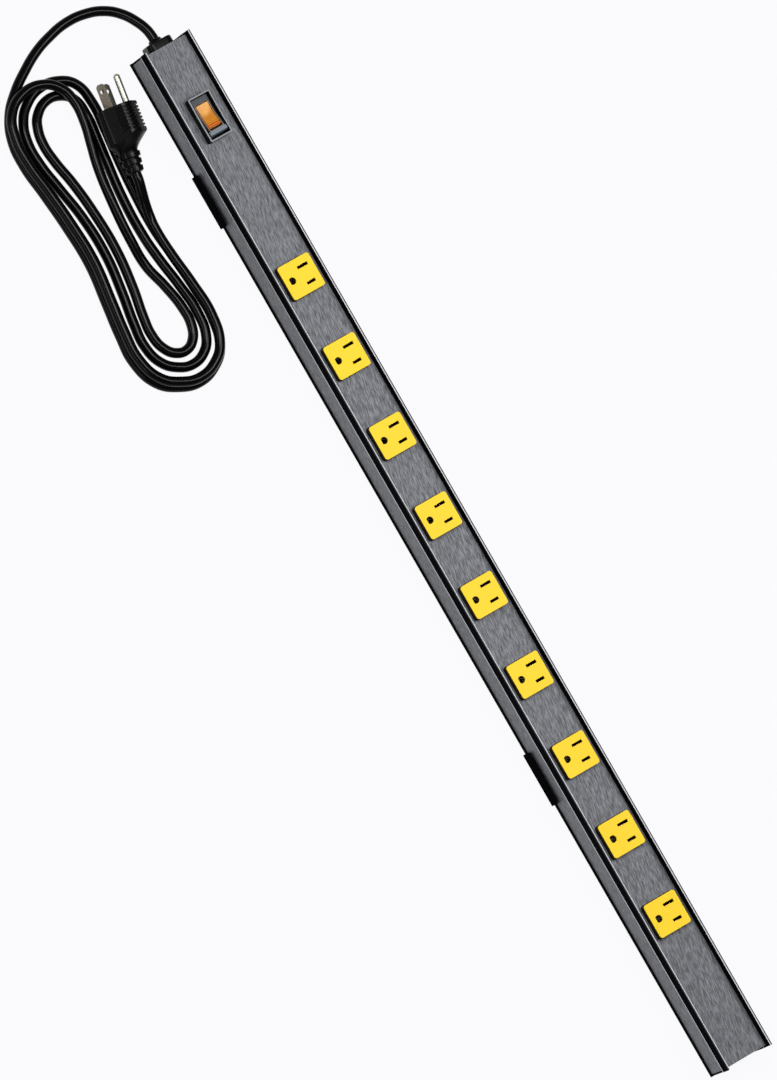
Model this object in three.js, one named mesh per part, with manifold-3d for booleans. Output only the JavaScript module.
// Nine-outlet metal power strip with a lighted rocker switch, two sliding mounting clips
// and a mains lead folded into a hank. Millimetres, +Z up, face up on the clips.
// X runs along the strip, with the lead at -X, and Y runs across it.
import * as THREE from "three";
import { mergeVertices } from "three/addons/utils/BufferGeometryUtils.js";
import Module from "manifold-3d";

const wasm = await Module();
wasm.setup();

// Driving dimensions
const GAP = 0.3; // clearance between pieces that touch
const SLIDE_GAP = 0.2; // clearance between a clip and the housing

const HOUSING_LENGTH = 816;
const RAIL_HEIGHT = 38.1;
const RAIL_WALL = 1.6;
const FLANGE_REACH = 1.05; // how far a base flange stands out past the rail above it
const FLANGE_THICK = 2;
const WALL_THICK = 1.6;
const BASE_THICK = 2;
const LEDGE_THICK = 1.4;
const LEDGE_REACH = 2; // how far a ledge reaches in under the face plate
const PANEL_DROP = 12.4; // from the top of the rails down to the side panels
const PANEL_THICK = 0.8;
const INSET_END = 1.6; // face plate and side panels stop this far short of the rails

const PLATE_THICK = 1.2;
const PLATE_SINK = 7.5; // from the top of the rails down to the face plate

const OUTLET_COUNT = 9;
const OUTLET_PITCH = 64;
const END_TO_OUTLET = 188.5; // from the cord end of the housing to the first outlet's middle
const OUTLET_SIDE = 26;
const OUTLET_MARGIN = 4.25; // from an outlet to the rail beside it
const OUTLET_CORNER = 2;
const OUTLET_PROUD = 6.6; // outlet face above the face plate
const OUTLET_LIP = 2; // rim under the face plate
const OUTLET_FRONT_WALL = 3;
const OUTLET_SIDE_WALL = 1.8;
const COVER_THICK = 1.6;
const SLOT_SPREAD = 12.7; // between the two blade slots
const SLOT_Y = 4.7;
const GROUND_Y = -7.3;
const SLOT_GAP = 2.2;
const NEUTRAL_SLOT = 8.4;
const LINE_SLOT = 6.8;
const GROUND_RADIUS = 2.65;

const BUS_CLEARANCE = 1.2; // from the screw bosses up to the bus bars
const BUS_THICK = 1;
const BUS_WIDTH = 3.5;
const LEAF_THICK = 0.6;
const LEAF_DROP = 4.7; // from the outlet's face down to the contact leaves

const END_TO_SWITCH = 60; // from the cord end of the housing to the switch's middle
const BEZEL_LENGTH = 34;
const BEZEL_WIDTH = 18;
const BEZEL_CORNER = 1.6;
const BEZEL_WALL = 1.5;
const BEZEL_HEIGHT = 8.6;
const BEZEL_LIP = 1.6; // how far the bezel overlaps the face plate at each end
const SWITCH_CLEARANCE = 10; // from the housing's base up to the switch body
const SWITCH_WALL = 1.6;
const ROCKER_TILT = THREE.MathUtils.degToRad(11);
const PIVOT_DROP = 8.3; // from the top of the bezel down to the rocker's pivot
const PIVOT_RADIUS = 1.4;
const PIN_REACH = 7.6; // the pivot pins end this far from the middle of the switch
const ROCKER_RISE = 4.2; // from the pivot up to the bottom of the rocker's V-shaped top
const ROCKER_SLOPE = 0.16; // of each half of that top
const LENS_LENGTH = 18.6;
const LENS_WIDTH = 9.4;
const LENS_THICK = 1.8;
const LENS_PROUD = 0.25;
const CONTACT_TILT = THREE.MathUtils.degToRad(5);
const CONTACT_RISE = 6.5; // from the bottom of the switch body up to the contact's pivot

const CAP_THICK = 2.4;
const BOSS_HEIGHT = 5.8;
const BOSS_WIDTH = 5.4;
const SCREW_BORE = 1.7;
const SCREW_RADIUS = 1.35;
const SCREW_HEAD_RADIUS = 2.6;
const SCREW_HEAD = 1.3;
const SCREW_LENGTH = 12;

const CLIP_SHEET = 1.5;
const CLIP_LENGTH = 41;
const CLIP_WING = 12.5; // wing height above the clip's own underside
const CLIP_X = [-297, 168];
const CLIP_SCREW_RADIUS = 2.25;

const CORD_DIAMETER = 7.4;
const BUSHING_SIDE = 20;
const BUSHING_CORNER = 5;
const BUSHING_HEAD = 6;
const BUSHING_NECK = 13.6;
const COLLAR_LENGTH = 2.2;
const BUSHING_TAIL = 9;

const GRIP_A = 26; // plug body along the line between its blades
const GRIP_B = 24; // plug body towards its ground pin
const GRIP_OFFSET = 3.5; // body centre from the blades' centre line, towards the ground pin
const PLUG_LENGTH = 48;
const BLADE_WIDTH = 6.35;
const BLADE_THICK = 1.5;
const BLADE_LENGTH = 18;
const BLADE_SPREAD = 12.7;
const PIN_RADIUS = 2.38;
const PIN_LENGTH = 21.4;
const PIN_OFFSET = 11.9;
const PLUG_TAIL = [69, -61.3, 20.4];
const PLUG_AXIS = [-0.987, 0.158, 0];
const PLUG_ROLL = THREE.MathUtils.degToRad(59);

// The lead's places are measured from the cord end of the housing, and were chosen by hand.
// The free lead from the bushing to the hank sinks to the floor as it turns.
const LEAD_ROUTE = [
  [-7.2, 0, 17.25],
  [-15, -1, 17],
  [-23, -4, 16],
  [-33, -10, 13.5],
  [-41, -19, 10.5],
  [-46, -32, 7.6],
  [-47, -47, 5.2],
  [-44, -62, 4],
  [-39.5, -75, 3.8],
  [-30.7, -90.8, 3.8],
];
// The end of the lead, from the top of the hank up to the plug.
const TAIL_ROUTE = [
  [107.3, -66.3, 11.3],
  [100, -65.6, 11.6],
  [91, -64.6, 13.8],
  [82, -63.4, 17.6],
  [74.8, -62.2, 20.1],
  [69.5, -61.4, 20.4],
];
// Stations round the hank: the innermost strand and the outermost strand, in plan.
const HANK_STATIONS = [
  [[36, -78], [31, -60]],
  [[22, -74.5], [11, -58]],
  [[9, -75], [-7, -61]],
  [[1.5, -79.5], [-17, -70]],
  [[-2, -87], [-22, -85]],
  [[2, -97], [-19, -102]],
  [[9, -101.5], [-9, -115]],
  [[20, -103.5], [8, -122]],
  [[34, -102.5], [27, -123]],
  [[53, -99], [50, -120.5]],
  [[78, -96.5], [77, -118]],
  [[108, -96], [108, -117]],
  [[138, -99.5], [138, -120.5]],
  [[158, -103.5], [161, -123.5]],
  [[172, -105], [182, -124.5]],
  [[184, -102.5], [201, -118]],
  [[191.5, -96], [210.5, -106]],
  [[193.5, -88], [214.5, -91]],
  [[190, -80.5], [209.5, -76]],
  [[181, -75.5], [200, -67]],
  [[166, -75], [180, -62]],
  [[147, -79], [154, -63]],
  [[128, -84.5], [128, -65.5]],
  [[108, -86.5], [108, -67]],
  [[78, -86], [78, -66]],
  [[51, -82], [49, -63]],
];
const HANK_MARGIN = 1.5; // round the strands
const HANK_SLACK = 0.4; // the upper strands' top above two diameters
const UPPER_FIRST = 4; // the upper strands run from this station
const UPPER_LAST = 23; // to this one
const UPPER_WIDTH = 9;

// Worked out from the values above
const BASE_Z = CLIP_SHEET + SLIDE_GAP;
const HALF = HOUSING_LENGTH / 2;
const RAIL_INNER = OUTLET_SIDE / 2 + OUTLET_MARGIN;
const RAIL_Y = RAIL_INNER + RAIL_WALL;
const FLANGE_Y = RAIL_Y + FLANGE_REACH;
const PANEL_TOP = RAIL_HEIGHT - PANEL_DROP;
const PLATE_TOP = RAIL_HEIGHT - PLATE_SINK;
const PANEL_Y = RAIL_Y - PANEL_THICK - GAP - 0.15;
const WALL_INNER = PANEL_Y - WALL_THICK;
const PLATE_BOTTOM = PLATE_TOP - PLATE_THICK;
const LEDGE_TOP = PLATE_BOTTOM - GAP;
const LEDGE_BOTTOM = LEDGE_TOP - LEDGE_THICK;
const INSET_HALF = HALF - INSET_END;
const CAP_OUTER = INSET_HALF - GAP;
const CAP_INNER = CAP_OUTER - CAP_THICK;
const BUSHING_Z = (BASE_THICK + LEDGE_TOP) / 2;
const FIRST_OUTLET_X = -HALF + END_TO_OUTLET;
const OUTLET_FACE = PLATE_TOP + OUTLET_PROUD;
const OUTLET_CAVITY = OUTLET_SIDE - 2 * OUTLET_SIDE_WALL;
const BUS_BOTTOM = BASE_THICK + BOSS_HEIGHT + BUS_CLEARANCE;
const COVER_BOTTOM = BUS_BOTTOM + BUS_THICK + GAP;
const OUTLET_BOTTOM = COVER_BOTTOM + COVER_THICK + GAP;
const LEAF_TOP = OUTLET_FACE - LEAF_DROP;
const SWITCH_X = -HALF + END_TO_SWITCH;
const BEZEL_BOTTOM = PLATE_TOP + GAP;
const BEZEL_TOP = BEZEL_BOTTOM + BEZEL_HEIGHT;
const SWITCH_BODY_LENGTH = BEZEL_LENGTH - 2 * BEZEL_LIP;
const SWITCH_BODY_WIDTH = BEZEL_WIDTH - 2.4;
const SWITCH_BODY_BOTTOM = BASE_THICK + SWITCH_CLEARANCE;
const ROCKER_HALF = BEZEL_LENGTH / 2 - BEZEL_WALL - 1.2;
const ROCKER_WIDTH = BEZEL_WIDTH - 2 * BEZEL_WALL - 1.4;
const PIVOT_Z = BEZEL_TOP - PIVOT_DROP;
const CONTACT_Z = SWITCH_BODY_BOTTOM + CONTACT_RISE;
const BOSS_Y = WALL_INNER - BOSS_WIDTH / 2;
const BOSS_Z = BASE_THICK + BOSS_HEIGHT / 2 + 0.3;
const LAST_OUTLET_X = FIRST_OUTLET_X + (OUTLET_COUNT - 1) * OUTLET_PITCH;
const BUS_START = FIRST_OUTLET_X - OUTLET_SIDE / 2 - 1;
const BUS_END = LAST_OUTLET_X + OUTLET_SIDE / 2 - 1;
const CORD_RADIUS = CORD_DIAMETER / 2;
const HANK_LAYER = CORD_DIAMETER; // top of the strands that lie on the floor
const HANK_TOP = 2 * CORD_DIAMETER + HANK_SLACK; // top of the strands that lie on those

const MATERIALS = {
  black_aluminium: [0x16171a, 0.45, 0.8],
  brushed_aluminium: [0x6e7075, 0.42, 0.85],
  yellow_plastic: [0xf7e23a, 0.45, 0],
  black_plastic: [0x111214, 0.4, 0],
  white_plastic: [0xe6e4dc, 0.5, 0],
  amber_lens: [0xe08a2a, 0.15, 0],
  lamp_glass: [0xffc48a, 0.1, 0],
  brass: [0xb98a3c, 0.35, 0.95],
  steel: [0x9a9ca0, 0.35, 0.95],
  clip_steel: [0x0c0c0e, 0.5, 0.6],
  cord_pvc: [0x0b0b0c, 0.4, 0],
  plug_pvc: [0x101112, 0.45, 0],
  blade_nickel: [0x6a6358, 0.3, 0.95],
  pin_nickel: [0xd8d6d0, 0.22, 0.98],
  wire_black: [0x151515, 0.5, 0],
  wire_white: [0xe8e8e4, 0.5, 0],
  wire_green: [0x1f7a3c, 0.5, 0],
};

// Geometry helpers

// A three.js geometry as a manifold solid.
function solid(geometry) {
  const bare = geometry.clone();
  bare.deleteAttribute("normal");
  bare.deleteAttribute("uv");
  const merged = mergeVertices(bare, 1e-4);
  return new wasm.Manifold(
    new wasm.Mesh({
      numProp: 3,
      vertProperties: new Float32Array(merged.attributes.position.array),
      triVerts: new Uint32Array(merged.index.array),
    }),
  );
}

// A manifold solid as a flat-shaded three.js geometry.
function geometryOf(body) {
  const mesh = body.getMesh();
  const geometry = new THREE.BufferGeometry();
  geometry.setAttribute("position", new THREE.BufferAttribute(mesh.vertProperties, 3));
  geometry.setIndex(new THREE.BufferAttribute(mesh.triVerts, 1));
  const flat = geometry.toNonIndexed();
  flat.computeVertexNormals();
  return flat;
}

const join = (first, ...rest) => rest.reduce((sum, body) => sum.add(body), first);
const cut = (first, ...rest) => rest.reduce((left, body) => left.subtract(body), first);

function box(x0, x1, y0, y1, z0, z1) {
  const geometry = new THREE.BoxGeometry(x1 - x0, y1 - y0, z1 - z0);
  geometry.translate((x0 + x1) / 2, (y0 + y1) / 2, (z0 + z1) / 2);
  return solid(geometry);
}

function blockAt(x, y, sizeX, sizeY, z0, z1) {
  return box(x - sizeX / 2, x + sizeX / 2, y - sizeY / 2, y + sizeY / 2, z0, z1);
}

function extrude(shape, depth, curveSegments = 6) {
  return new THREE.ExtrudeGeometry(shape, { depth, bevelEnabled: false, curveSegments });
}

// A shape drawn in (X, Y), between two heights.
function prismZ(shape, z0, z1, curveSegments) {
  return solid(extrude(shape, z1 - z0, curveSegments).translate(0, 0, z0));
}

const ALONG_X = new THREE.Matrix4().makeBasis(
  new THREE.Vector3(0, 1, 0),
  new THREE.Vector3(0, 0, 1),
  new THREE.Vector3(1, 0, 0),
);
const ALONG_Y = new THREE.Matrix4().makeBasis(
  new THREE.Vector3(1, 0, 0),
  new THREE.Vector3(0, 0, 1),
  new THREE.Vector3(0, -1, 0),
);

// A shape drawn in (Y, Z), between two values of X.
function prismX(shape, x0, x1, curveSegments) {
  const geometry = extrude(shape, x1 - x0, curveSegments).applyMatrix4(ALONG_X);
  return solid(geometry.translate(x0, 0, 0));
}

// A shape drawn in (X, Z), between two values of Y.
function prismY(shape, y0, y1, curveSegments) {
  const geometry = extrude(shape, y1 - y0, curveSegments).applyMatrix4(ALONG_Y);
  return solid(geometry.translate(0, y1, 0));
}

function polygon(points) {
  return new THREE.Shape(points.map(([x, y]) => new THREE.Vector2(x, y)));
}

function roundedRect(width, height, radius, x = 0, y = 0) {
  const w = width / 2 - radius;
  const h = height / 2 - radius;
  const shape = new THREE.Shape();
  shape.absarc(x + w, y + h, radius, 0, Math.PI / 2);
  shape.absarc(x - w, y + h, radius, Math.PI / 2, Math.PI);
  shape.absarc(x - w, y - h, radius, Math.PI, 1.5 * Math.PI);
  shape.absarc(x + w, y - h, radius, 1.5 * Math.PI, 2 * Math.PI);
  shape.closePath();
  return shape;
}

function circlePath(radius, x, y) {
  const path = new THREE.Path();
  path.absarc(x, y, radius, 0, 2 * Math.PI);
  return path;
}

// A solid of revolution about X: the profile lists [x, radius] and ends on the axis.
function turnedX(profile, y = 0, z = 0, segments = 20) {
  const points = profile.map(([x, radius]) => new THREE.Vector2(radius, x));
  const geometry = new THREE.LatheGeometry(points, segments);
  geometry.rotateZ(-Math.PI / 2);
  return solid(geometry.translate(0, y, z));
}

function rodX(x0, x1, radius, y, z, segments = 16) {
  return turnedX([[x0, 0], [x0, radius], [x1, radius], [x1, 0]], y, z, segments);
}

function rodY(y0, y1, radius, x, z, segments = 16) {
  const geometry = new THREE.CylinderGeometry(radius, radius, y1 - y0, segments);
  return solid(geometry.translate(x, (y0 + y1) / 2, z));
}

function rodZ(z0, z1, radius, x, y, segments = 16) {
  const geometry = new THREE.CylinderGeometry(radius, radius, z1 - z0, segments);
  geometry.rotateX(Math.PI / 2);
  return solid(geometry.translate(x, y, (z0 + z1) / 2));
}

// A round tube along a smooth line through the points.
function tubeGeometry(points, radius, sides, steps) {
  const section = new THREE.Shape();
  for (let i = 0; i < sides; i++) {
    const angle = (2 * Math.PI * (i + 0.5)) / sides;
    const x = radius * Math.cos(angle);
    const y = radius * Math.sin(angle);
    if (i === 0) section.moveTo(x, y);
    else section.lineTo(x, y);
  }
  section.closePath();
  const line = new THREE.CatmullRomCurve3(
    points.map((p) => new THREE.Vector3(...p)),
    false,
    "centripetal",
  );
  return new THREE.ExtrudeGeometry(section, { steps, extrudePath: line, bevelEnabled: false });
}

function addMesh(group, name, body, material) {
  const [color, roughness, metalness] = MATERIALS[material];
  const geometry = body.isBufferGeometry ? body : geometryOf(body);
  const mesh = new THREE.Mesh(
    geometry,
    new THREE.MeshStandardMaterial({ color, roughness, metalness }),
  );
  mesh.name = name;
  group.add(mesh);
  return mesh;
}

// Housing

// Half of the channel's section, from the flange's corner up the outside and down the inside.
function channelShape() {
  const half = [
    [FLANGE_Y, 0],
    [FLANGE_Y, FLANGE_THICK],
    [PANEL_Y, FLANGE_THICK],
    [PANEL_Y, PANEL_TOP],
    [RAIL_Y, PANEL_TOP],
    [RAIL_Y, PANEL_TOP + 1.6],
    [RAIL_Y - 0.6, PANEL_TOP + 2.2],
    [RAIL_Y - 0.6, PANEL_TOP + 3.2],
    [RAIL_Y, PANEL_TOP + 3.8],
    [RAIL_Y, RAIL_HEIGHT - 0.3],
    [RAIL_Y - 0.3, RAIL_HEIGHT],
    [RAIL_INNER + 0.2, RAIL_HEIGHT],
    [RAIL_INNER, RAIL_HEIGHT - 0.2],
    [RAIL_INNER, PLATE_TOP + 1.2],
    [RAIL_INNER - 0.7, PLATE_TOP + 0.8],
    [RAIL_INNER - 0.7, PLATE_TOP + GAP],
    [RAIL_INNER, PLATE_TOP + GAP],
    [RAIL_INNER, LEDGE_TOP],
    [RAIL_INNER - LEDGE_REACH, LEDGE_TOP],
    [RAIL_INNER - LEDGE_REACH, LEDGE_BOTTOM],
    [WALL_INNER, LEDGE_BOTTOM - 0.8],
    [WALL_INNER, BASE_THICK + BOSS_HEIGHT],
    [WALL_INNER - BOSS_WIDTH, BASE_THICK + BOSS_HEIGHT],
    [WALL_INNER - BOSS_WIDTH, BASE_THICK],
  ];
  const mirrored = half.map(([y, z]) => [-y, z]).reverse();
  const shape = polygon([...half, ...mirrored]);
  shape.holes.push(circlePath(SCREW_BORE, BOSS_Y, BOSS_Z), circlePath(SCREW_BORE, -BOSS_Y, BOSS_Z));
  return shape;
}

const GROUND_SCREW = { x: -HALF + 38, y: -4, bore: 2.3, shaft: 1.95, head: 3.5, headHeight: 2.8 };

function buildHousing(group) {
  const channel = prismX(channelShape(), -HALF, HALF, 5);
  const pocket = WALL_INNER;
  const pocketDepth = HALF - CAP_INNER + 2 * GAP;
  const endPocket = (side) =>
    side < 0
      ? box(-HALF - 1, -HALF + pocketDepth, -pocket, pocket, BASE_THICK, LEDGE_TOP)
      : box(HALF - pocketDepth, HALF + 1, -pocket, pocket, BASE_THICK, LEDGE_TOP);
  const groundBore = rodZ(-1, BASE_THICK + 1, GROUND_SCREW.bore, GROUND_SCREW.x, GROUND_SCREW.y);
  addMesh(
    group,
    "housing_channel",
    cut(channel, endPocket(-1), endPocket(1), groundBore),
    "black_aluminium",
  );

  const plate = roundedRect(2 * INSET_HALF, 2 * (RAIL_INNER - GAP), 0.4);
  for (let i = 0; i < OUTLET_COUNT; i++) {
    const side = OUTLET_SIDE + 2 * GAP;
    plate.holes.push(roundedRect(side, side, OUTLET_CORNER + GAP, outletX(i), 0));
  }
  const switchLength = SWITCH_BODY_LENGTH + 2 * GAP;
  const switchWidth = SWITCH_BODY_WIDTH + 2 * GAP;
  plate.holes.push(roundedRect(switchLength, switchWidth, 0.5, SWITCH_X, 0));
  addMesh(group, "face_plate", prismZ(plate, PLATE_BOTTOM, PLATE_TOP, 3), "brushed_aluminium");

  for (const [name, side] of [["side_panel_left", -1], ["side_panel_right", 1]]) {
    const inner = PANEL_Y + GAP;
    const ys = [side * inner, side * (inner + PANEL_THICK)].sort((a, b) => a - b);
    const top = PANEL_TOP - GAP;
    const body = box(-INSET_HALF, INSET_HALF, ys[0], ys[1], FLANGE_THICK + GAP, top);
    addMesh(group, name, body, "brushed_aluminium");
  }
}

function outletX(index) {
  return FIRST_OUTLET_X + index * OUTLET_PITCH;
}

// End caps, their screws and the strain-relief bushing

function capBody(withBushing) {
  const top = LEDGE_TOP - GAP;
  const edge = WALL_INNER - 2 * GAP;
  const bottom = BASE_THICK + GAP;
  const shape = roundedRect(2 * edge, top - bottom, 1, 0, (top + bottom) / 2);
  const bore = SCREW_RADIUS + GAP;
  shape.holes.push(circlePath(bore, BOSS_Y, BOSS_Z), circlePath(bore, -BOSS_Y, BOSS_Z));
  if (withBushing) {
    const side = BUSHING_NECK + 2 * GAP;
    shape.holes.push(roundedRect(side, side, BUSHING_CORNER - 2, 0, BUSHING_Z));
  }
  return withBushing
    ? prismX(shape, -CAP_OUTER, -CAP_INNER, 4)
    : prismX(shape, CAP_INNER, CAP_OUTER, 4);
}

// A pan-head screw whose head faces -X, with a cross recess.
function screwBody() {
  const body = turnedX(
    [
      [-SCREW_HEAD, 0],
      [-SCREW_HEAD, SCREW_HEAD_RADIUS - 0.8],
      [-SCREW_HEAD / 2, SCREW_HEAD_RADIUS],
      [0, SCREW_HEAD_RADIUS],
      [0, SCREW_RADIUS],
      [SCREW_LENGTH - 1, SCREW_RADIUS],
      [SCREW_LENGTH, 0],
    ],
    0,
    0,
    12,
  );
  const arm = 1.5;
  const half = 0.3;
  const depth = -SCREW_HEAD + 0.8;
  const across = box(-SCREW_HEAD - 1, depth, -arm, arm, -half, half);
  const upright = box(-SCREW_HEAD - 1, depth, -half, half, -arm, arm);
  return cut(body, across, upright);
}

function buildEnds(group) {
  addMesh(group, "end_cap_cord_side", capBody(true), "black_plastic");
  addMesh(group, "end_cap_far_side", capBody(false), "black_plastic");
  let number = 1;
  for (const end of [-1, 1]) {
    for (const side of [-1, 1]) {
      const screw = addMesh(group, `end_cap_screw_${number}`, screwBody(), "steel");
      screw.position.set(end * (CAP_OUTER + GAP), side * BOSS_Y, BOSS_Z);
      if (end > 0) screw.rotation.z = Math.PI;
      number += 1;
    }
  }

  const headStart = -CAP_OUTER - GAP;
  const headEnd = headStart - BUSHING_HEAD;
  const neckEnd = -CAP_INNER + 2;
  const head = roundedRect(BUSHING_SIDE, BUSHING_SIDE, BUSHING_CORNER, 0, BUSHING_Z);
  const bevelled = new THREE.ExtrudeGeometry(head, {
    depth: BUSHING_HEAD - 1.2,
    bevelThickness: 1.2,
    bevelSize: 1.2,
    bevelOffset: -1.2,
    bevelSegments: 2,
    curveSegments: 4,
  }).applyMatrix4(ALONG_X);
  const rounded = solid(bevelled.translate(headEnd + 1.2, 0, 0));
  const block = cut(rounded, box(headStart, headStart + 9, -20, 20, -10, 40));
  const neck = roundedRect(BUSHING_NECK, BUSHING_NECK, BUSHING_CORNER - 2, 0, BUSHING_Z);
  const collar = turnedX(
    [
      [headEnd - COLLAR_LENGTH, 0],
      [headEnd - COLLAR_LENGTH, CORD_RADIUS + 0.7],
      [headEnd + 1, CORD_RADIUS + 2],
      [headEnd + 1, 0],
    ],
    0,
    BUSHING_Z,
  );
  const tail = turnedX(
    [
      [neckEnd - 1, 0],
      [neckEnd - 1, CORD_RADIUS + 2.4],
      [neckEnd + BUSHING_TAIL, CORD_RADIUS + 0.6],
      [neckEnd + BUSHING_TAIL, 0],
    ],
    0,
    BUSHING_Z,
  );
  const bushing = join(block, prismX(neck, headStart - 1, neckEnd, 4), collar, tail);
  addMesh(group, "strain_relief_bushing", bushing, "black_plastic");
  return neckEnd + BUSHING_TAIL;
}

// Outlets

function groundHole() {
  const shape = new THREE.Shape();
  shape.absarc(0, GROUND_Y, GROUND_RADIUS, -Math.PI / 4, (5 * Math.PI) / 4);
  shape.closePath();
  return shape;
}

const CONTACTS = [
  { x: -SLOT_SPREAD / 2, y: SLOT_Y, inner: 0.95, width: 5.5 },
  { x: SLOT_SPREAD / 2, y: SLOT_Y, inner: 0.95, width: 5.5 },
  { x: 0, y: GROUND_Y, inner: 2.65, width: 4.4 },
];

function outletBody() {
  const front = roundedRect(OUTLET_SIDE, OUTLET_SIDE, OUTLET_CORNER);
  const flangeTop = PLATE_BOTTOM - GAP;
  const length = OUTLET_SIDE + 2 * OUTLET_LIP;
  const flange = roundedRect(length, 2 * (RAIL_INNER - LEDGE_REACH - GAP), OUTLET_CORNER);
  const cavityTop = OUTLET_FACE - OUTLET_FRONT_WALL;
  return cut(
    join(prismZ(front, OUTLET_BOTTOM, OUTLET_FACE, 3), prismZ(flange, flangeTop - 2.2, flangeTop, 2)),
    blockAt(0, 0, OUTLET_CAVITY, OUTLET_CAVITY, OUTLET_BOTTOM - 1, cavityTop),
    blockAt(-SLOT_SPREAD / 2, SLOT_Y, SLOT_GAP, NEUTRAL_SLOT, cavityTop - 1, OUTLET_FACE + 1),
    blockAt(SLOT_SPREAD / 2, SLOT_Y, SLOT_GAP, LINE_SLOT, cavityTop - 1, OUTLET_FACE + 1),
    prismZ(groundHole(), cavityTop - 1, OUTLET_FACE + 1, 8),
  );
}

function rearCoverBody() {
  const plate = roundedRect(OUTLET_SIDE, OUTLET_SIDE, OUTLET_CORNER);
  const plug = OUTLET_CAVITY - 2 * GAP;
  const windows = CONTACTS.map(({ x, y, inner, width }) =>
    blockAt(x, y, 2 * (inner + LEAF_THICK + GAP), width + 2 * GAP, COVER_BOTTOM - 1, 20),
  );
  const rim = cut(
    blockAt(0, 0, plug, plug, OUTLET_BOTTOM - 1, OUTLET_BOTTOM + 1.8),
    blockAt(0, 0, plug - 2, plug - 2, OUTLET_BOTTOM - 0.5, OUTLET_BOTTOM + 2),
  );
  return cut(join(prismZ(plate, COVER_BOTTOM, OUTLET_BOTTOM - GAP, 2), rim), ...windows);
}

// One bar with a tab and two spring leaves under each outlet.
function busBar(contact, stripY) {
  const top = BUS_BOTTOM + BUS_THICK;
  const parts = [];
  const near = contact.y + Math.sign(contact.y - stripY) * (contact.width / 2);
  const reach = [stripY, near].sort((a, b) => a - b);
  for (let i = 0; i < OUTLET_COUNT; i++) {
    const x = outletX(i) + contact.x;
    const half = contact.inner + LEAF_THICK;
    parts.push(box(x - half, x + half, reach[0], reach[1], BUS_BOTTOM, top));
    for (const side of [-1, 1]) {
      const leafX = x + side * (contact.inner + LEAF_THICK / 2);
      parts.push(blockAt(leafX, contact.y, LEAF_THICK, contact.width, BUS_BOTTOM, LEAF_TOP));
    }
  }
  const half = BUS_WIDTH / 2;
  return join(box(BUS_START, BUS_END, stripY - half, stripY + half, BUS_BOTTOM, top), ...parts);
}

const NEUTRAL_BUS_Y = 11.3;
const LINE_BUS_Y = -0.6;
const GROUND_BUS_Y = -11.3;

function buildOutlets(group) {
  for (let i = 0; i < OUTLET_COUNT; i++) {
    const outlet = addMesh(group, `outlet_${i + 1}`, outletBody(), "yellow_plastic");
    outlet.position.x = outletX(i);
    const cover = addMesh(group, `outlet_rear_cover_${i + 1}`, rearCoverBody(), "white_plastic");
    cover.position.x = outletX(i);
  }
  addMesh(group, "neutral_bus_bar", busBar(CONTACTS[0], NEUTRAL_BUS_Y), "brass");
  addMesh(group, "line_bus_bar", busBar(CONTACTS[1], LINE_BUS_Y), "brass");
  addMesh(group, "ground_bus_bar", busBar(CONTACTS[2], GROUND_BUS_Y), "brass");
}

// Switch

// Each reaches down from the switch body by its own length.
const TERMINALS = [
  { name: "switch_terminal_lamp", x: -7.5, bottom: 3.6, top: CONTACT_Z - 3.3 },
  { name: "switch_terminal_in", x: 0, bottom: 8, top: CONTACT_Z - 0.8 },
  { name: "switch_terminal_out", x: 7.5, bottom: 8, top: CONTACT_Z - 2 },
];
const TERMINAL_THICK = 0.8;
const TERMINAL_WIDTH = 6;

function switchHousingBody() {
  const inLength = BEZEL_LENGTH - 2 * BEZEL_WALL + 0.2;
  const inWidth = BEZEL_WIDTH - 2 * BEZEL_WALL - 0.2;
  const outline = roundedRect(BEZEL_LENGTH, BEZEL_WIDTH, BEZEL_CORNER);
  const rim = prismZ(outline, BEZEL_BOTTOM, BEZEL_TOP, 5);
  const well = prismZ(roundedRect(inLength, inWidth, 0.6), BEZEL_BOTTOM, BEZEL_TOP + 1, 3);
  const body = blockAt(
    0,
    0,
    SWITCH_BODY_LENGTH,
    SWITCH_BODY_WIDTH,
    SWITCH_BODY_BOTTOM,
    BEZEL_BOTTOM + 1,
  );
  const cavity = blockAt(
    0,
    0,
    SWITCH_BODY_LENGTH - 2 * SWITCH_WALL - 2.6,
    SWITCH_BODY_WIDTH - 2 * SWITCH_WALL,
    SWITCH_BODY_BOTTOM + 1.5,
    BEZEL_BOTTOM + 2,
  );
  const catches = [-1, 1].map((side) =>
    blockAt((side * SWITCH_BODY_LENGTH) / 2, 0, 2.4, 7, PLATE_BOTTOM - 3, PLATE_BOTTOM - GAP),
  );
  const slots = TERMINALS.map(({ x }) =>
    blockAt(
      x,
      0,
      TERMINAL_THICK + 2 * GAP,
      TERMINAL_WIDTH + 2 * GAP,
      SWITCH_BODY_BOTTOM - 2,
      SWITCH_BODY_BOTTOM + 2,
    ),
  );
  const reach = PIN_REACH + GAP;
  const pivotHole = rodY(-reach, reach, PIVOT_RADIUS + GAP, 0, PIVOT_Z);
  return cut(join(rim, body, ...catches), well, cavity, pivotHole, ...slots);
}

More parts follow.
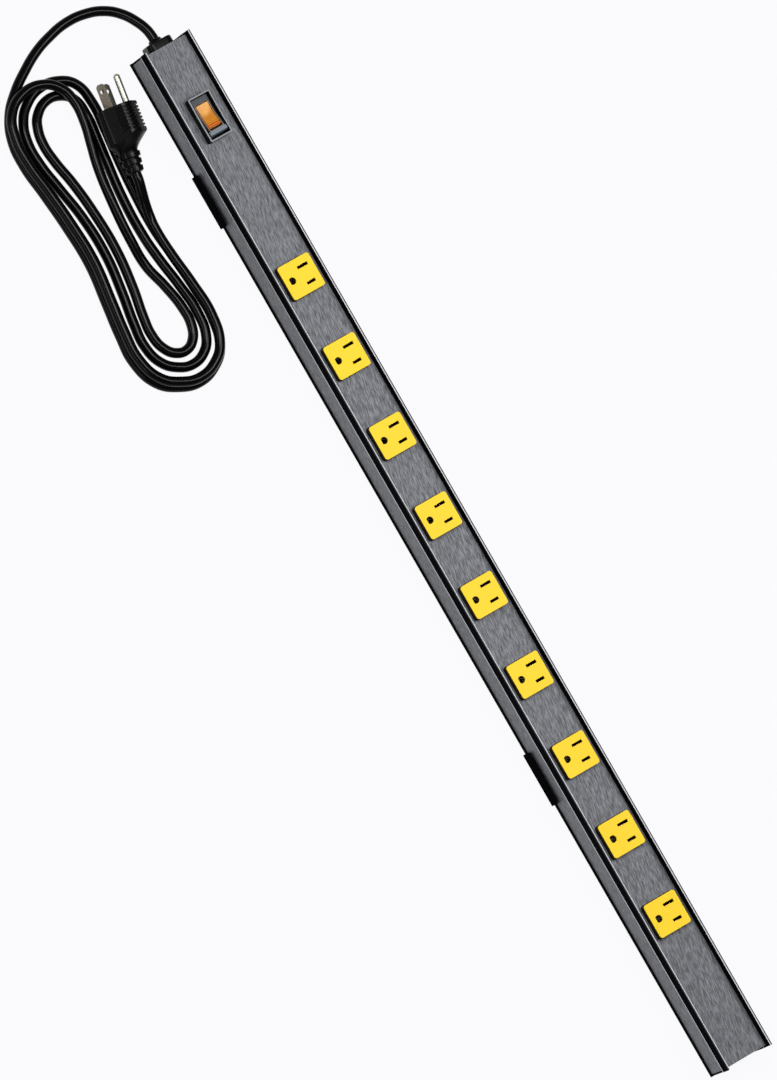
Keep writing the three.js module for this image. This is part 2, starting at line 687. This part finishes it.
// The rocker, drawn level about its pivot.
function rockerBody() {
  const end = ROCKER_RISE + ROCKER_SLOPE * ROCKER_HALF;
  const drop = PIVOT_Z - CONTACT_Z;
  const hubDepth = 0.4 * drop; // clears the moving contact at both ends of its tilt
  const tip = ROCKER_HALF + 0.3;
  const underside = tip * Math.tan(ROCKER_TILT) + 0.16;
  const wings = polygon([
    [-ROCKER_HALF, end],
    [0, ROCKER_RISE],
    [ROCKER_HALF, end],
    [tip, underside],
    [6.5, 1.6],
    [-6.5, 1.6],
    [-tip, underside],
  ]);
  const half = ROCKER_WIDTH / 2;
  const pocketHalf = LENS_LENGTH / 2 + GAP;
  const pocketFloor = ROCKER_RISE + LENS_PROUD - LENS_THICK - GAP;
  const pocketEnd = pocketFloor + (ROCKER_SLOPE * LENS_LENGTH) / 2;
  const pocket = polygon([
    [-pocketHalf, ROCKER_RISE + 3],
    [-pocketHalf, pocketEnd],
    [0, pocketFloor],
    [pocketHalf, pocketEnd],
    [pocketHalf, ROCKER_RISE + 3],
  ]);
  const lensHalf = LENS_WIDTH / 2 + GAP;
  const outer = join(
    prismY(wings, -half, half),
    blockAt(0, 0, 12, ROCKER_WIDTH - 2.2, -hubDepth, 2.5),
    rodY(-PIN_REACH, PIN_REACH, PIVOT_RADIUS, 0, 0, 14),
    rodZ(1.1 - drop, 1 - hubDepth, 1.5, 0, 0, 12),
  );
  return cut(
    outer,
    prismY(pocket, -lensHalf, lensHalf),
    blockAt(0, 0, 10.6, 5.4, -2.4, 4),
  );
}

function lensBody() {
  const half = LENS_LENGTH / 2;
  const top = ROCKER_RISE + LENS_PROUD;
  const end = top + ROCKER_SLOPE * half;
  const lens = polygon([
    [-half, end],
    [0, top],
    [half, end],
    [half, end - LENS_THICK],
    [0, top - LENS_THICK],
    [-half, end - LENS_THICK],
  ]);
  return prismY(lens, -LENS_WIDTH / 2, LENS_WIDTH / 2);
}

function lampBody() {
  const profile = [
    [-4.6, 0],
    [-4.6, 1.2],
    [-3.6, 1.9],
    [3.2, 1.9],
    [4.4, 0.9],
    [4.8, 0],
  ];
  return turnedX(profile, 0, 0, 12);
}

function contactBody() {
  return join(
    blockAt(0, 0, 19, 5, -0.4, 0.4),
    blockAt(7.5, 0, 2.6, 3.4, -0.9, 0),
    blockAt(-7.5, 0, 2.6, 3.4, -0.9, 0),
  );
}

function buildSwitch(group) {
  const unit = new THREE.Group();
  unit.position.x = SWITCH_X;
  group.add(unit);
  addMesh(unit, "switch_housing", switchHousingBody(), "black_plastic");

  const rocking = new THREE.Group();
  rocking.position.z = PIVOT_Z;
  rocking.rotation.y = -ROCKER_TILT;
  unit.add(rocking);
  addMesh(rocking, "switch_rocker", rockerBody(), "black_plastic");
  addMesh(rocking, "switch_lens", lensBody(), "amber_lens");
  addMesh(rocking, "neon_lamp", lampBody(), "lamp_glass");

  const contact = addMesh(unit, "moving_contact", contactBody(), "brass");
  contact.position.z = CONTACT_Z;
  contact.rotation.y = CONTACT_TILT;
  for (const { name, x, bottom, top } of TERMINALS) {
    const foot = SWITCH_BODY_BOTTOM - bottom;
    const blade = blockAt(x, 0, TERMINAL_THICK, TERMINAL_WIDTH, foot, top);
    const pad = blockAt(x, 0, 3, 4, top - 0.5, top);
    addMesh(unit, name, x > 0 ? join(blade, pad) : blade, "brass");
  }
}

// Wires inside the housing

function buildWiring(group, bushingEnd) {
  const start = bushingEnd + 3 * GAP;
  const wireRadius = 1.3;
  const barZ = BUS_BOTTOM + BUS_THICK / 2;
  const barEnd = BUS_START - GAP;
  const { x: screwX, y: screwY, head } = GROUND_SCREW;
  const screwSide = head + 2 * GAP;
  const terminalFace = TERMINAL_THICK / 2 + GAP;
  const low = BASE_THICK + GAP;
  const under = SWITCH_BODY_BOTTOM;
  const bodyEnd = SWITCH_X - SWITCH_BODY_LENGTH / 2;
  const wires = [
    ["wire_line_in", "wire_black", [
      [start, 2.6, BUSHING_Z + 1],
      [start + 3, 2.8, BUSHING_Z + 0.8],
      [SWITCH_X - 32, 4.5, BUSHING_Z - 2.4],
      [SWITCH_X - 21, 4, under - 4],
      [SWITCH_X - 12, 2, under - 6.2],
      [SWITCH_X - terminalFace, 0, under - 6.4],
    ]],
    ["wire_line_switched", "wire_black", [
      [SWITCH_X + 7.5 + terminalFace, 0, under - 6],
      [SWITCH_X + 18, 1, under - 6.5],
      [SWITCH_X + 48, 1, under - 6.5],
      [barEnd - 16, 0, barZ - 2],
      [barEnd, LINE_BUS_Y, barZ],
    ]],
    ["wire_neutral_in", "wire_white", [
      [start, 0, BUSHING_Z + 3.8],
      [start + 3, 0, BUSHING_Z + 3.7],
      [bodyEnd - 17.6, 1, BUSHING_Z + 1.4],
      [bodyEnd - 6.6, 1.5, under - 0.2],
      [bodyEnd - 0.6, 1.4, under - 1.9],
      [SWITCH_X - 7.5 - terminalFace, 1.3, under - 2],
    ]],
    ["wire_neutral_bus", "wire_white", [
      [SWITCH_X - 7.5 + terminalFace + GAP, 1.3, under - 1.9],
      [SWITCH_X - 5.4, 1.7, under - 1.8],
      [SWITCH_X - 3.4, 4.6, under - 1.8],
      [SWITCH_X + 1, 8, under - 1.8],
      [SWITCH_X + 18, 11, under - 1.8],
      [barEnd - 26, NEUTRAL_BUS_Y, barZ + 0.5],
      [barEnd, NEUTRAL_BUS_Y, barZ],
    ]],
    ["wire_ground_in", "wire_green", [
      [start, -2.6, BUSHING_Z - 1],
      [start + 3, -3.2, BUSHING_Z - 1.8],
      [screwX - 14.5, screwY, low + 6.3],
      [screwX - 9, screwY, low + 2.3],
      [screwX - screwSide, screwY, low + 1.5],
    ]],
    ["wire_ground_bus", "wire_green", [
      [screwX + screwSide, screwY, low + 1.5],
      [screwX + 8, -5.4, low + 1.7],
      [screwX + 15, -7.8, low + 3.1],
      [SWITCH_X + 3, -8.6, under - 4],
      [SWITCH_X + 28, -10.6, barZ + 0.5],
      [barEnd - 26, GROUND_BUS_Y, barZ + 0.5],
      [barEnd, GROUND_BUS_Y, barZ],
    ]],
  ];
  for (const [name, material, points] of wires) {
    addMesh(group, name, tubeGeometry(points, wireRadius, 6, 16), material);
  }
  const screw = cut(
    join(
      rodZ(low, low + GROUND_SCREW.headHeight, head, screwX, screwY, 18),
      rodZ(0.2, low + 1, GROUND_SCREW.shaft, screwX, screwY, 14),
    ),
    blockAt(screwX, screwY, 5, 0.9, low + 1.6, low + 4),
    blockAt(screwX, screwY, 0.9, 5, low + 1.6, low + 4),
  );
  addMesh(group, "ground_screw", screw, "steel");
}

// Mounting clips: sheet bent round the base, with lips above the flanges

function clipBody() {
  const inner = FLANGE_Y + SLIDE_GAP;
  const outer = inner + CLIP_SHEET;
  const lipZ = BASE_Z + FLANGE_THICK + SLIDE_GAP;
  const lip = PANEL_Y + GAP + PANEL_THICK + SLIDE_GAP;
  const half = [
    [outer - 0.8, 0],
    [outer, 0.8],
    [outer, CLIP_WING - 0.4],
    [outer - 0.4, CLIP_WING],
    [inner + 0.2, CLIP_WING],
    [inner, CLIP_WING - 0.3],
    [inner, lipZ + 1.8],
    [lip, lipZ + 1.1],
    [lip, lipZ],
    [inner, lipZ],
    [inner, CLIP_SHEET],
  ];
  const mirrored = half.map(([y, z]) => [-y, z]).reverse();
  const halfLength = CLIP_LENGTH / 2;
  const sheet = prismX(polygon([...half, ...mirrored]), -halfLength, halfLength);
  const screwHoles = [-1, 1].map((side) =>
    rodZ(-1, CLIP_SHEET + 1, CLIP_SCREW_RADIUS, side * (CLIP_LENGTH / 4), 0, 16),
  );
  return cut(sheet, ...screwHoles);
}

function buildClips(root) {
  CLIP_X.forEach((x, i) => {
    const clip = addMesh(root, `mounting_clip_${i + 1}`, clipBody(), "clip_steel");
    clip.position.x = x;
  });
}

// Lead, hank and plug

// The point a distance beyond a station's outermost strand.
function beyond([inner, outer], distance) {
  const dx = outer[0] - inner[0];
  const dy = outer[1] - inner[1];
  const scale = distance / Math.hypot(dx, dy);
  return [outer[0] + dx * scale, outer[1] + dy * scale];
}

function hankBody() {
  const reach = CORD_RADIUS + HANK_MARGIN;
  const entry = LEAD_ROUTE.at(-1);
  const before = LEAD_ROUTE.at(-2);
  const heading = new THREE.Vector2(entry[0] - before[0], entry[1] - before[1]).normalize();
  const face = [entry[0] + heading.x * GAP, entry[1] + heading.y * GAP];
  const mouth = (side) => [
    face[0] - side * heading.y * CORD_RADIUS,
    face[1] + side * heading.x * CORD_RADIUS,
  ];
  const outline = [];
  HANK_STATIONS.forEach((station, i) => {
    outline.push(beyond(station, reach));
    if (i === 4) outline.push(mouth(1), mouth(-1));
  });
  const upper = HANK_STATIONS.slice(UPPER_FIRST + 1, UPPER_LAST + 1);
  const band = [
    ...upper.map((station) => beyond(station, reach)),
    ...upper.map((station) => beyond(station, reach - UPPER_WIDTH)).reverse(),
  ];
  return join(
    prismZ(polygon(outline), 0, HANK_LAYER),
    prismZ(polygon(band), HANK_LAYER - 1, HANK_TOP),
  );
}

// The plug, drawn along +X from the end of its strain relief, with blades in the X-Y plane
// and the ground pin towards +Z.
function plugBody() {
  const face = PLUG_LENGTH;
  const ringed = [[0, 0], [0, 4.9]];
  for (let ring = 0; ring < 3; ring++) {
    const x = 0.8 + ring * 5;
    const radius = 5.6 + ring * 0.6;
    ringed.push([x, radius], [x + 3.2, radius + 0.3], [x + 3.4, radius - 0.9], [x + 4.6, radius - 0.8]);
  }
  const profile = [...ringed, [18, 7.2], [27, 17], [face, 20], [face, 0]];
  const round = turnedX(profile, 0, 0, 24);
  const section = roundedRect(GRIP_A, GRIP_B, 7, 0, GRIP_OFFSET);
  const grip = round.intersect(prismX(section, -1, face + 1, 5));
  const grooves = [];
  for (let i = 0; i < 6; i++) {
    const x = 28 + i * 2.9;
    const top = GRIP_OFFSET + GRIP_B / 2;
    grooves.push(box(x, x + 1.1, -GRIP_A / 2 - 1, GRIP_A / 2 + 1, top - 1, top + 1));
  }
  return cut(grip, ...grooves);
}

function bladeBody() {
  const half = BLADE_WIDTH / 2;
  const start = PLUG_LENGTH + GAP;
  const end = start + BLADE_LENGTH;
  const shape = polygon([
    [start, -half],
    [end - 1.6, -half],
    [end, -half + 1.4],
    [end, half - 1.4],
    [end - 1.6, half],
    [start, half],
  ]);
  shape.holes.push(circlePath(1.6, end - 5.5, 0));
  return prismY(shape, -BLADE_THICK / 2, BLADE_THICK / 2, 6);
}

function groundPinBody() {
  const start = PLUG_LENGTH + GAP;
  const end = start + PIN_LENGTH;
  return turnedX(
    [
      [start, 0],
      [start, PIN_RADIUS],
      [end - 2.6, PIN_RADIUS],
      [end - 1, PIN_RADIUS * 0.8],
      [end - 0.2, PIN_RADIUS * 0.4],
      [end, 0],
    ],
    0,
    PIN_OFFSET,
    16,
  );
}

function buildCord(root) {
  const cord = new THREE.Group();
  cord.position.x = -HALF;
  root.add(cord);
  addMesh(cord, "cord_lead", tubeGeometry(LEAD_ROUTE, CORD_RADIUS, 10, 14), "cord_pvc");
  addMesh(cord, "cord_hank", hankBody(), "cord_pvc");
  addMesh(cord, "cord_plug_end", tubeGeometry(TAIL_ROUTE, CORD_RADIUS, 10, 6), "cord_pvc");

  const plug = new THREE.Group();
  const along = new THREE.Vector3(...PLUG_AXIS).normalize();
  const side = new THREE.Vector3(along.y, -along.x, 0); // level, towards the strip
  const up = new THREE.Vector3(0, 0, 1);
  const pinWay = side.clone().multiplyScalar(Math.sin(PLUG_ROLL));
  pinWay.addScaledVector(up, Math.cos(PLUG_ROLL));
  const bladeWay = pinWay.clone().cross(along);
  plug.quaternion.setFromRotationMatrix(new THREE.Matrix4().makeBasis(along, bladeWay, pinWay));
  plug.position.set(...PLUG_TAIL);
  cord.add(plug);
  addMesh(plug, "plug_body", plugBody(), "plug_pvc");
  for (const [name, way] of [["plug_blade_line", 1], ["plug_blade_neutral", -1]]) {
    const blade = addMesh(plug, name, bladeBody(), "blade_nickel");
    blade.position.y = (way * BLADE_SPREAD) / 2;
  }
  addMesh(plug, "plug_ground_pin", groundPinBody(), "pin_nickel");
}

const root = new THREE.Group();
const strip = new THREE.Group();
strip.position.z = BASE_Z;
root.add(strip);
buildHousing(strip);
const bushingEnd = buildEnds(strip);
buildOutlets(strip);
buildSwitch(strip);
buildWiring(strip, bushingEnd);
buildClips(root);
buildCord(root);

export default root;
